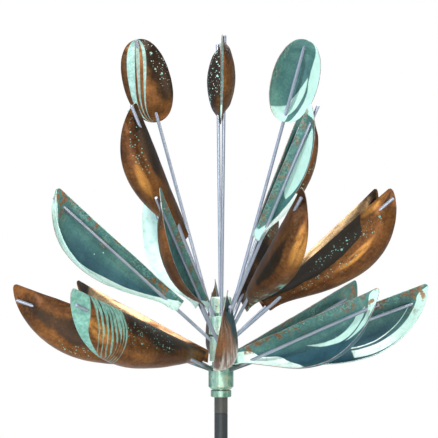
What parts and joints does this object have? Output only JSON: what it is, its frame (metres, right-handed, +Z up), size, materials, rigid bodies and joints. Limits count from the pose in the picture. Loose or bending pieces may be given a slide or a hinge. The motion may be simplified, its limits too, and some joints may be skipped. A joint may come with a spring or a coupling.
{
  "type": "wind spinner",
  "caption": "Garden wind spinner head on a mast section: tiers of patinated copper scoops on steel rods, on two rotors that turn opposite ways about one spindle.",
  "frame": {"origin": "On the spin axis, at the mouth of the socket in the mast section's open lower end", "axes": "+Z up along the spin axis, -Y the front, +X to the viewer's right"},
  "size_m": [0.7886, 0.7886, 0.98],
  "materials": {
    "scoop_copper": "hammered copper sheet, browned on the convex side and verdigris in the hollow",
    "rod_steel": "bright drawn stainless rod",
    "hub_bronze": "turned bronze under pale verdigris with rust specks",
    "mast_paint": "satin dark blue-grey paint",
    "adapter_paint": "satin dark olive-grey paint",
    "shaft_steel": "ground stainless shaft",
    "bearing_steel": "polished bearing steel"
  },
  "bodies": {
    "mast": {"mast_tube": "mast_paint", "mast_adapter": "adapter_paint", "mast_collar": "hub_bronze", "spindle": "shaft_steel", "spindle_nut": "shaft_steel"},
    "outer_rotor": {"rotor_sleeve": "shaft_steel", "lower_hub": "hub_bronze", "upper_hub": "hub_bronze", "top_cap": "hub_bronze", "main_bearings": "bearing_steel", "lower_rod_1": "rod_steel", "lower_petal_1": "scoop_copper", "lower_rod_2": "rod_steel", "lower_petal_2": "scoop_copper", "lower_rod_3": "rod_steel", "lower_petal_3": "scoop_copper", "lower_rod_4": "rod_steel", "lower_petal_4": "scoop_copper", "lower_rod_5": "rod_steel", "lower_petal_5": "scoop_copper", "lower_rod_6": "rod_steel", "lower_petal_6": "scoop_copper", "lower_rod_7": "rod_steel", "lower_petal_7": "scoop_copper", "lower_rod_8": "rod_steel", "lower_petal_8": "scoop_copper", "upper_rod_1": "rod_steel", "upper_petal_1": "scoop_copper", "upper_rod_2": "rod_steel", "upper_petal_2": "scoop_copper", "upper_rod_3": "rod_steel", "upper_petal_3": "scoop_copper", "upper_rod_4": "rod_steel", "upper_petal_4": "scoop_copper", "crown_rod_1": "rod_steel", "crown_petal_1": "scoop_copper", "crown_rod_2": "rod_steel", "crown_petal_2": "scoop_copper", "crown_rod_3": "rod_steel", "crown_petal_3": "scoop_copper", "crown_rod_4": "rod_steel", "crown_petal_4": "scoop_copper"},
    "middle_rotor": {"middle_hub": "hub_bronze", "middle_bearings": "bearing_steel", "middle_rod_1": "rod_steel", "middle_petal_1": "scoop_copper", "middle_rod_2": "rod_steel", "middle_petal_2": "scoop_copper", "middle_rod_3": "rod_steel", "middle_petal_3": "scoop_copper", "middle_rod_4": "rod_steel", "middle_petal_4": "scoop_copper", "middle_rod_5": "rod_steel", "middle_petal_5": "scoop_copper", "middle_rod_6": "rod_steel", "middle_petal_6": "scoop_copper", "middle_rod_7": "rod_steel", "middle_petal_7": "scoop_copper", "middle_rod_8": "rod_steel", "middle_petal_8": "scoop_copper"}
  },
  "joints": [
    {"name": "outer_spin", "type": "hinge", "parent": "mast", "child": "outer_rotor", "pos_m": [0, 0, 0.33], "axis": [0, 0, 1], "continuous": true},
    {"name": "middle_spin", "type": "hinge", "parent": "outer_rotor", "child": "middle_rotor", "pos_m": [0, 0, 0.38], "axis": [0, 0, 1], "continuous": true}
  ]
}
